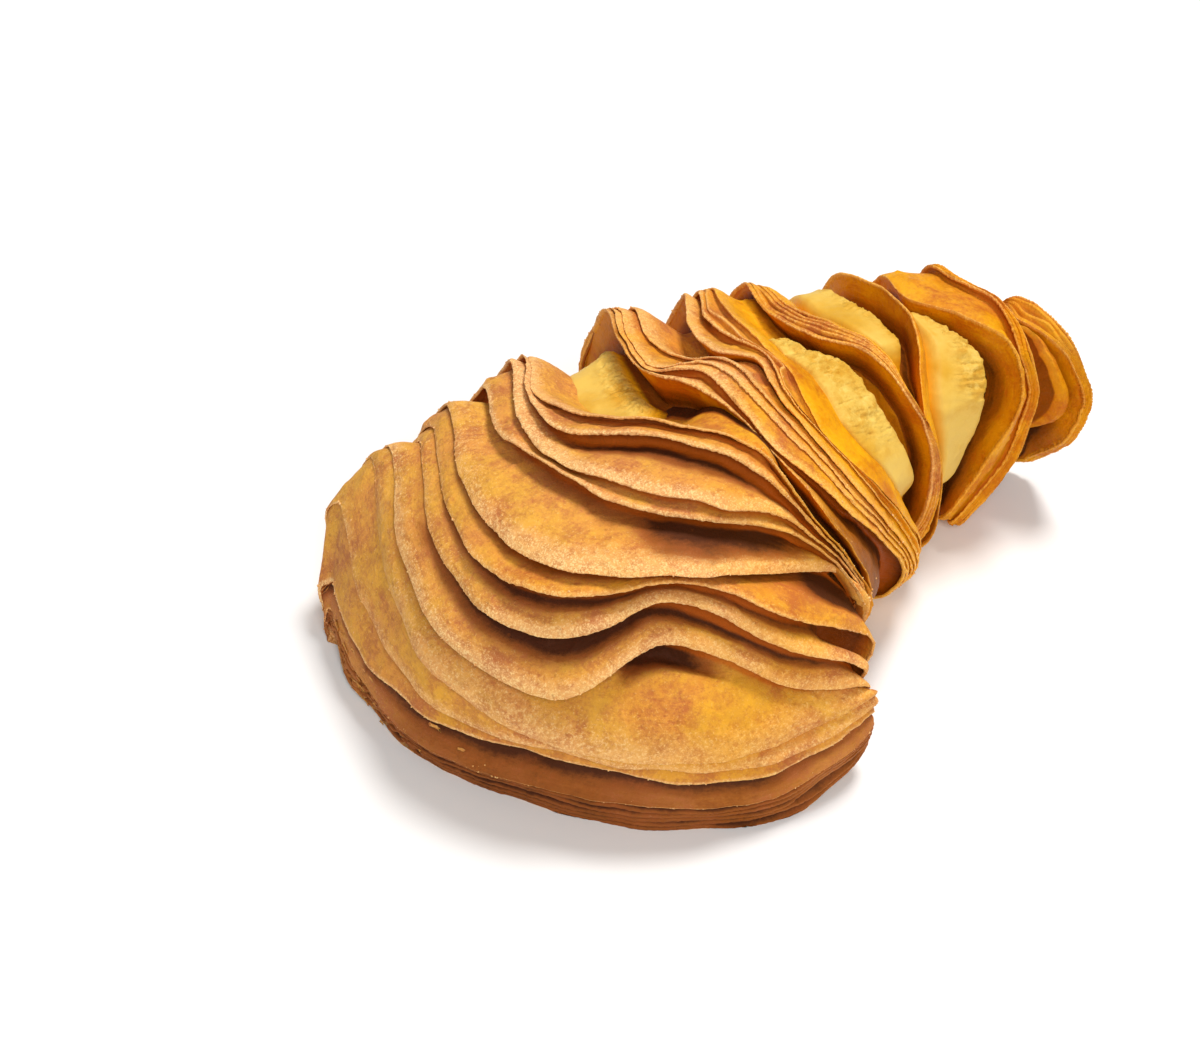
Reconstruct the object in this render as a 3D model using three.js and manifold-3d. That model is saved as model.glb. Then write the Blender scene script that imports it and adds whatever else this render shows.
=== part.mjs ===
import * as THREE from 'three';
import { mergeVertices } from 'three/addons/utils/BufferGeometryUtils.js';
import Module from 'manifold-3d';

// A baked lobster tail pastry lying on its side: a curved horn of laminated leaves round a choux core.
// All sizes are millimetres. +X runs from the wide end to the tip, +Z is up, and z = 0 is the table.

const wasm = await Module();
wasm.setup();

// Each rim is the free edge of one leaf or of a bundle of leaves, from the wide end to the tip.
// Its seven places run from the left flank (first) over the crown to the right flank (then).
// gap: how deep the cleft behind it reaches at the left flank, the crown and the right flank.
// bed: where an open valley lies behind it, the share of the way to the next rim where its floor begins.
// tuck: how far it draws in beneath the right flank, where that isn't SOLE_TUCK.
const RIMS = [
  { name: 'foot', gap: [1.0, 1.0, 0.8],
    first: [[-64, 28.5, 3], [-67, 15, 1], [-64, -4, 0], [-52, -25, 0]],
    then: [[-35, -40, 0], [-19, -46, 0], [-3, -42, 7]] },
  { name: 'sole', gap: [1.2, 2.4, 1.0],
    first: [[-63.5, 29, 7], [-66.5, 16, 5], [-65, -5, 5], [-52, -25, 5]],
    then: [[-35, -40, 5], [-20, -46, 7], [-3, -43, 10]] },
  { name: 'hem', gap: [1.0, 2.0, 1.0],
    first: [[-62.5, 31, 12], [-66, 17, 11], [-64, -4, 11], [-51, -24, 12]],
    then: [[-35, -40, 11], [-19, -45, 12], [-3, -43, 13]] },
  { name: 'collar', gap: [0.7, 1.6, 1.0],
    first: [[-57, 36, 23], [-63, 18, 18], [-64, -4, 15], [-52, -25, 15]],
    then: [[-35, -40, 14], [-19, -45, 14], [-3, -43, 15]] },
  { name: 'skirt', gap: [1.0, 4.4, 2.0],
    first: [[-50, 36, 30], [-60, 16, 26], [-63, -6, 22], [-53, -26, 18]],
    then: [[-35, -41, 17], [-18, -44, 17], [-3, -43, 17]] },
  { name: 'smile', gap: [1.0, 5.0, 2.6],
    first: [[-48, 34, 33], [-58, 13, 31], [-61, -7, 29], [-52, -25, 28]],
    then: [[-35, -30, 35], [-19, -41, 26], [-4.5, -42.8, 18.5]] },
  { name: 'brow', gap: [1.0, 3.8, 3.0],
    first: [[-44, 31, 35], [-54, 10, 36], [-56, -9, 36], [-48, -22, 37]],
    then: [[-32, -28, 41], [-19, -39, 33], [-4.5, -42.5, 22]] },
  { name: 'crest', gap: [1.2, 3.2, 2.6], tuck: 0.1,
    first: [[-41, 32, 36], [-50, 12, 39], [-53, -5, 41], [-47, -19, 43]],
    then: [[-30, -28, 44], [-17, -38, 38], [-0.5, -38.8, 23]] },
  { name: 'ledge', gap: [4.5, 4.4, 2.6],
    first: [[-37, 33, 38], [-46, 14, 42], [-49, -5, 44], [-43, -19, 46]],
    then: [[-29, -29, 46], [-4.5, -33, 36.5], [-0.6, -36.2, 26]] },
  { name: 'shelf', gap: [2.0, 2.6, 1.6],
    first: [[-31, 32, 40], [-37, 17, 45], [-37, 5, 49], [-34, -11, 51]],
    then: [[-24, -22, 50], [-10, -30, 45], [-1, -36, 29]] },
  { name: 'step', gap: [2.6, 4.0, 2.0],
    first: [[-25, 33, 42], [-33, 18, 47], [-36, 3, 50], [-31, -12, 53]],
    then: [[-21, -23, 52], [-10, -29, 47], [0, -35, 29]] },
  { name: 'arch', gap: [1.8, 2.2, 1.6],
    first: [[-23, 32, 43], [-30, 19, 48], [-32, 5, 52], [-23, -6, 55]],
    then: [[-14, -19, 55], [-9, -29, 49], [1, -34, 28]] },
  { name: 'ridge', gap: [9.5, 6.0, 3.0], bed: 0.4,
    first: [[-22, 32, 42], [-29, 18.5, 48], [-28, 5.5, 53], [-20, -5.5, 56]],
    then: [[-11, -18.5, 56], [-8.5, -30, 50], [2, -34.5, 27]] },
  { name: 'neck', gap: [0.8, 3.0, 5.5],
    first: [[-5.5, 34, 43], [-10, 23, 48], [-13, 11.5, 51], [-9.5, 0.5, 53.5]],
    then: [[-8, -15, 54.5], [-4.5, -30.5, 46], [3.5, -32.5, 27]] },
  { name: 'scarf', gap: [0.8, 0.8, 1.2],
    first: [[-5, 33.5, 43.5], [-9.5, 22, 48.5], [-12.5, 10, 51.5], [-6.5, 2, 54]],
    then: [[-7.5, -17, 54.5], [0.5, -28.5, 44], [16, -25.5, 18]] },
  { name: 'stole', gap: [1.6, 1.8, 1.2],
    first: [[-4, 33, 43.5], [-9, 20.5, 48.5], [-11, 10, 51.5], [-4.5, 2, 54.5]],
    then: [[-4, -14, 54.5], [2.5, -27.5, 43.5], [17.5, -24.5, 17]] },
  { name: 'nape', gap: [7.0, 2.8, 1.6], bed: 0.6,
    first: [[-1.5, 32, 43], [-6, 19, 48], [-5.5, 9.5, 51], [-2, 1.5, 54.5]],
    then: [[-2, -12.5, 54], [4, -26.5, 43], [19, -23.5, 16]] },
  { name: 'fold', gap: [3.5, 3.0, 1.4],
    first: [[8.5, 30, 43], [1.5, 18.5, 48], [0, 9, 50.5], [2.5, 0.5, 53.5]],
    then: [[0.5, -10.5, 53], [5.5, -25, 42.5], [20.5, -22.5, 15]] },
  { name: 'pleat', gap: [1.6, 1.2, 1.0],
    first: [[11, 29.5, 43], [5, 18.5, 48], [4.5, 9.5, 50.5], [5, 0.5, 53]],
    then: [[2.5, -10, 52], [8.5, -23.5, 41], [22, -21.5, 14.5]] },
  { name: 'wing', gap: [9.0, 8.0, 5.0], bed: 0.62,
    first: [[13, 29, 43], [9, 18.5, 48], [7.5, 5.5, 50.5], [6.5, -4, 52]],
    then: [[4.5, -15.5, 48.5], [12, -23, 37.5], [24.5, -19, 14]] },
  { name: 'sash', gap: [1.6, 1.0, 1.0],
    first: [[18.5, 27, 43], [15, 15.5, 47], [16, 3, 50], [22, -4, 49]],
    then: [[25, -13, 43], [27, -17, 32], [26, -16.5, 17]] },
  { name: 'belt', gap: [9.0, 7.0, 4.0], bed: 0.4,
    first: [[20, 24.5, 43], [19, 14.5, 47], [20.5, 3, 50], [24, -4.5, 49]],
    then: [[25.5, -14.5, 42], [28.5, -17.5, 30], [28, -16, 14]] },
  { name: 'band', gap: [6.0, 9.0, 6.0], bed: 0.35,
    first: [[33.5, 21, 42], [35, 12.5, 46], [35, 3, 47], [32, -4.5, 46]],
    then: [[27.5, -12.5, 40], [29.5, -16.5, 28], [29.5, -15.5, 11]] },
  { name: 'cuff', gap: [1.6, 2.0, 1.2],
    first: [[40, 16.5, 42], [38, 7, 45], [43.5, -1, 45], [49, -9.5, 41]],
    then: [[48.5, -13.5, 32], [44, -11.5, 18], [38, -10, 8]] },
  { name: 'trim', gap: [1.4, 1.4, 1.2],
    first: [[48, 14.5, 42], [48, 6.5, 45], [51.5, -1, 44], [50, -10, 40]],
    then: [[52, -11.5, 30.5], [49.5, -10.5, 16], [39.5, -10, 5]] },
  { name: 'bell', gap: [4.0, 10.0, 8.0], bed: 0.3,
    first: [[49, 14, 42], [49, 6, 45], [52, -2, 44], [51.5, -11, 40]],
    then: [[53, -12.5, 30], [51, -11.5, 16], [41, -10.5, 4]] },
  { name: 'lip', gap: [1.4, 1.2, 1.0],
    first: [[57, 4, 36], [56, -2, 38], [58, -6.5, 37.5], [61, -11, 33]],
    then: [[62, -14.5, 25.5], [61, -12.5, 15], [60, -5, 6]] },
  { name: 'tip', gap: [0, 0, 0],
    first: [[57.2, 3.5, 37.5], [59.5, 0, 39.5], [61, -7.5, 38.5], [62, -13, 33.5]],
    then: [[62.8, -15.5, 26], [62.2, -13, 15], [61.5, -5.5, 5]] },
];

// Where the choux swells out between two rims: behind which rim, from which place to which place on it,
// how far below the rims, and between which shares of the way to the next rim it rises and falls
const WINDOWS = [
  { behind: 'ridge', from: -1.9, to: 3.4, cover: 3.6, rise: [0.04, 0.3], fall: [0.42, 0.62] },
  { behind: 'wing', from: 0.7, to: 6.2, cover: 2.4, rise: [0.04, 0.45], fall: [0.66, 0.86] },
  { behind: 'belt', from: -1.6, to: 3.7, cover: 2.4, rise: [0.04, 0.35], fall: [0.7, 0.9] },
  { behind: 'band', from: 0.6, to: 6.4, cover: 2.6, rise: [0.04, 0.3], fall: [0.7, 0.88] },
];

const COLUMNS = 40; // facets round each rim
const PLACES = 11; // the seven places of a rim and the four hidden ones that close it
const SWELL = 0.1; // how far a leaf bows outwards, as a share of its width
const BRINK = 0.2; // how far a valley's slope stands out past a straight one, as a share of its depth
const OVERHANG = 1.6; // how far a cleft runs in behind the next rim
const OVERHANG_SHARE = 0.3; // and at most this share of the cleft's depth
const PRESSED_SHARE = 0.25; // how much of a cleft's depth is left underneath, where the leaves are pressed
const LEAF_ROOM = [0.5, 0.6]; // a cleft is at most this share of its leaf's width and that share of its gap
const VALLEY_ROOM = [0.9, 0.2]; // the same for a valley
const FLANK_BOW = 0.14; // how far the hidden back stands out past the left flank, as a share of its height
const BACK_TUCK = 0.08; // how far the underside draws in beneath the left flank, as a share of the half width
const SOLE_TUCK = 0.4; // how far the underside draws in beneath the right flank, as a share of the half width
const HIDDEN_HEIGHTS = { rightLow: 0.22, backLow: 0.2, back: 0.62 }; // as shares of the flanks' heights
const PRESSED = -2; // rims are baked flat below this height under the wide end
const TIP_RISE = 0.14; // how fast the underside climbs towards the tip
const TIP_FROM = 22; // where it starts to climb
const TAIL_END = [67, -3, 22]; // the closed point of the horn
const CORE_COLUMNS = 26;
const CORE_FIRST = 'smile'; // the core runs from under this leaf
const CORE_END = 'bell'; // to just before this one
const CORE_COVER = 9.0; // thickness of the leaves round the core
const CORE_FLOOR = 5; // lowest height of the core
const CORE_SLIMMEST = 0.7; // share of the way to the axis that the leaves may take up
const CORE_CLEAR = 0.3; // gap between core and leaves
const CORE_STEPS = 5; // rows of the core in a window
const WINDOW_SOFT = 0.2; // share of a window's length over which the choux rises at each end
const WELD = 1e-4;
const TABLE = 300;
const ORIGIN = [0, -3.2, 0]; // the middle of the underside in the rims' own numbers

const TAN = { color: 0xc98a43, roughness: 0.7, metalness: 0 };
const CREAM = { color: 0xdcb765, roughness: 0.75, metalness: 0 };

const { smoothstep } = THREE.MathUtils;
const vec = (p) => new THREE.Vector3(...p);
const mix = (a, b, t) => a.clone().lerp(b, t);
const underside = (x) => PRESSED + Math.max(0, x - TIP_FROM) * TIP_RISE;
const samples = (columns) => Array.from({ length: columns }, (_, k) => k / columns);
const inwards = (point, centre) => centre.clone().sub(point).normalize();

// The closed loop of a rim: its seven places, then right low, bottom, back low and back
function rimLoop(rim) {
  const seen = [...rim.first, ...rim.then].map(vec);
  const left = seen[0];
  const right = seen[seen.length - 1];
  const middle = mix(left, right, 0.5);
  const outLeft = left.clone().sub(middle).setZ(0).normalize();
  const outRight = right.clone().sub(middle).setZ(0).normalize();
  const low = underside(middle.x);
  const bow = FLANK_BOW * left.z;
  const halfWidth = Math.hypot(right.x - middle.x, right.y - middle.y);
  const tuck = (rim.tuck ?? SOLE_TUCK) * halfWidth;
  const height = (share, top) => low + share * Math.max(0, top - low);
  const { rightLow: rightLowHeight, backLow: backLowHeight, back: backHeight } = HIDDEN_HEIGHTS;
  const rightLow = right.clone().addScaledVector(outRight, -tuck).setZ(height(rightLowHeight, right.z));
  const bottom = middle.clone().setZ(low);
  const backLow = left.clone().addScaledVector(outLeft, -BACK_TUCK * halfWidth)
    .setZ(height(backLowHeight, left.z));
  const back = left.clone().addScaledVector(outLeft, bow).setZ(height(backHeight, left.z));
  return new THREE.CatmullRomCurve3([...seen, rightLow, bottom, backLow, back], true, 'catmullrom', 0.5);
}

const loops = RIMS.map(rimLoop);
const centres = loops.map((loop) => middleOf(samples(COLUMNS).map((v) => loop.getPoint(v))));

function middleOf(row) {
  return row.reduce((sum, p) => sum.add(p), new THREE.Vector3()).divideScalar(row.length);
}

// How deep the cleft behind a rim is, v turns round it: less underneath, where the leaves are pressed
function cleftDepth(rim, v, width) {
  const [left, crown, right] = rim.gap;
  const knots = [
    [0, left], [0.8, left], [2.6, crown], [3.4, crown], [6, right],
    [7.2, PRESSED_SHARE * right], [8.6, PRESSED_SHARE * left], [9.8, left], [PLACES, left],
  ];
  const place = v * PLACES;
  const after = knots.findIndex((knot, k) => k > 0 && place <= knot[0]);
  const [start, from] = knots[after - 1];
  const [end, to] = knots[after];
  const gap = THREE.MathUtils.lerp(from, to, (place - start) / (end - start));
  const [ofWidth, ofGap] = rim.bed ? VALLEY_ROOM : LEAF_ROOM;
  return Math.min(gap, ofWidth * width + ofGap * gap);
}

// The rows behind rim i: the bowed middle of its leaf and its cleft, or a valley's slope and floor
function leafRows(i) {
  const rim = RIMS[i];
  const points = samples(COLUMNS).map((v) => {
    const here = loops[i].getPoint(v);
    const next = loops[i + 1].getPoint(v);
    const inner = inwards(next, centres[i + 1]);
    const width = next.distanceTo(here);
    const depth = cleftDepth(rim, v, width);
    const sunk = (share, sink) => mix(here, next, share).addScaledVector(inner, sink);
    if (rim.bed) {
      return [sunk(rim.bed / 2, (0.5 - BRINK) * depth), sunk(rim.bed, depth), sunk(1, depth)];
    }
    const along = next.clone().sub(here).normalize();
    const root = sunk(1, depth).addScaledVector(along, Math.min(OVERHANG, OVERHANG_SHARE * depth));
    return [mix(here, root, 0.5).addScaledVector(inner, -SWELL * width), root];
  });
  return points[0].map((_, row) => points.map((column) => column[row]));
}

// Rows of points from the foot to the tip: each rim and the leaf behind it
function shellRows() {
  return loops.flatMap((loop, i) => {
    const rim = samples(COLUMNS).map((v) => loop.getPoint(v));
    return i < loops.length - 1 ? [rim, ...leafRows(i)] : [rim];
  });
}

// How far a window is open, v turns round the horn and a share of the way to the next rim
function opening(window, v, share) {
  const turn = v * PLACES;
  const place = turn > window.to + 1 ? turn - PLACES : turn;
  const soft = WINDOW_SOFT * (window.to - window.from);
  const along = smoothstep(place, window.from, window.from + soft)
    * (1 - smoothstep(place, window.to - soft, window.to));
  return along * smoothstep(share, ...window.rise) * (1 - smoothstep(share, ...window.fall));
}

// The choux: the rims drawn in by the leaves' thickness, swelling out where a window shows it
function coreRows(clear) {
  const rows = [];
  const first = RIMS.findIndex((rim) => rim.name === CORE_FIRST);
  const last = RIMS.findIndex((rim) => rim.name === CORE_END);
  for (let i = first; i < last; i += 1) {
    const window = WINDOWS.find((w) => w.behind === RIMS[i].name);
    const steps = window ? CORE_STEPS : 1;
    for (let step = 0; step < steps; step += 1) {
      const share = (step + 0.5) / steps;
      rows.push(samples(CORE_COLUMNS).map((v) => {
        const skin = mix(loops[i].getPoint(v), loops[i + 1].getPoint(v), share);
        const centre = mix(centres[i], centres[i + 1], share);
        const open = window ? opening(window, v, share) : 0;
        const cover = window ? THREE.MathUtils.lerp(CORE_COVER, window.cover, open) : CORE_COVER;
        const drawn = Math.min(cover, CORE_SLIMMEST * skin.distanceTo(centre)) - clear;
        const point = skin.clone().addScaledVector(inwards(skin, centre), drawn);
        return point.setZ(Math.max(point.z, CORE_FLOOR - clear));
      }));
    }
  }
  const backwards = centres[first].clone().sub(centres[first + 1]).setLength(clear);
  const onwards = centres[last].clone().sub(centres[last - 1]).setLength(clear);
  rows[0].forEach((point) => point.add(backwards));
  rows[rows.length - 1].forEach((point) => point.add(onwards));
  return rows;
}

// A closed solid through rows of points, with a fan to a point at each end
function loft(rows, start, end) {
  const columns = rows[0].length;
  const positions = [...rows.flat(), start, end].flatMap((p) => [p.x, p.y, p.z]);
  const faces = [];
  const at = (row, column) => row * columns + (column % columns);
  const startAt = rows.length * columns;
  for (let k = 0; k < columns; k += 1) {
    for (let r = 0; r < rows.length - 1; r += 1) {
      faces.push(at(r, k), at(r, k + 1), at(r + 1, k + 1), at(r, k), at(r + 1, k + 1), at(r + 1, k));
    }
    faces.push(startAt, at(0, k + 1), at(0, k));
    faces.push(startAt + 1, at(rows.length - 1, k), at(rows.length - 1, k + 1));
  }
  const geometry = new THREE.BufferGeometry();
  geometry.setAttribute('position', new THREE.Float32BufferAttribute(positions, 3));
  geometry.setIndex(faces);
  return geometry;
}

function toSolid(geometry) {
  geometry.deleteAttribute('normal');
  geometry.deleteAttribute('uv');
  const merged = mergeVertices(geometry, WELD);
  return new wasm.Manifold(new wasm.Mesh({
    numProp: 3,
    vertProperties: new Float32Array(merged.attributes.position.array),
    triVerts: new Uint32Array(merged.index.array),
  }));
}

function toMesh(name, solid, look) {
  const { vertProperties, triVerts } = solid.getMesh();
  const geometry = new THREE.BufferGeometry();
  geometry.setAttribute('position', new THREE.BufferAttribute(new Float32Array(vertProperties), 3));
  geometry.setIndex(new THREE.BufferAttribute(new Uint32Array(triVerts), 1));
  const mesh = new THREE.Mesh(geometry, new THREE.MeshStandardMaterial(look));
  mesh.name = name;
  return mesh;
}

function choux(clear) {
  const rows = coreRows(clear);
  return toSolid(loft(rows, middleOf(rows[0]), middleOf(rows[rows.length - 1])));
}

function shell() {
  const rows = shellRows();
  const start = middleOf(rows[0]).setZ(PRESSED);
  const body = toSolid(loft(rows, start, vec(TAIL_END)));
  const table = new THREE.BoxGeometry(TABLE, TABLE, TABLE).translate(0, 0, TABLE / 2);
  return body.intersect(toSolid(table)).subtract(choux(CORE_CLEAR));
}

const pastry = new THREE.Group();
pastry.position.set(...ORIGIN).negate();
pastry.add(toMesh('pastry_shell', shell(), TAN));
pastry.add(toMesh('choux_filling', choux(0), CREAM));

export default pastry;
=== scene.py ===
"""A baked lobster tail pastry: ruffled leaves of laminated dough round a choux core, on a pale table."""
import math

import bmesh
import bpy
import numpy as np
from mathutils import Matrix, Vector, noise


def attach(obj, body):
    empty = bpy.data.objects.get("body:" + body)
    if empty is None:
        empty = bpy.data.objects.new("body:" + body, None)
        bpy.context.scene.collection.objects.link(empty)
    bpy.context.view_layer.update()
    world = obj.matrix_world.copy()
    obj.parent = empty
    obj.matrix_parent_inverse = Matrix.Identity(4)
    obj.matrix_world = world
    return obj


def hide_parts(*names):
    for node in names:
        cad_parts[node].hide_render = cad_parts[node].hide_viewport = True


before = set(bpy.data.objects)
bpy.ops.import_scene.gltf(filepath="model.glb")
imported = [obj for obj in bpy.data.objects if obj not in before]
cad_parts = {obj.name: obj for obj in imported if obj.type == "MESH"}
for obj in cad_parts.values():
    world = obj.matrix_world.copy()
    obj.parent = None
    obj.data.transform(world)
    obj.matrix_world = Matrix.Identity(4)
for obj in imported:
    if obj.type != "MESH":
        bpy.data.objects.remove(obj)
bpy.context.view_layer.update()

MM = 0.001
SEED = 20
RANDOM = np.random.default_rng(SEED)
noise.seed_set(SEED)
ORIGIN = np.array([0.0, -3.2, 0.0])


# Rims
def rim(name, gap, first, then, **rest):
    """The free edge of one leaf, at seven places from the left flank over the crown to the right flank

    first, then: the seven places in mm, the first four and the other three;
    gap: depth of the cleft behind it, at the left flank, the crown and the right flank;
    bed: the share of the way to the next rim where a valley's floor begins, or None for a plain leaf;
    plies: how many leaf edges lie between it and the next rim;
    swell: how far the leaf bows out;
    reach: how far the cleft runs in under the next rim;
    tuck: how far it draws in under the right flank;
    wave: how much it wavers;
    bake: how dark the leaf is painted down in the cleft, painted shade with some browning;
    base: how dark it is all over;
    pale, band: how floury it is at its rim, and how far back from it;
    warm: 0 for tan to 1 for orange, or None where it follows from the leaf's place;
    gold: how yellow it is.
    bake, base, pale, warm and gold may be one number or three, at the same places as gap.
    """
    made = dict(name=name, gap=gap, bed=None, plies=1, swell=0.0, reach=0.0, tuck=0.4, wave=0.14,
                bake=0.4, base=0.0, pale=1.0, band=1.0, warm=None, gold=0.4)
    made.update(rest)
    made["at"] = np.array(first + then, float)
    return made


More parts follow.
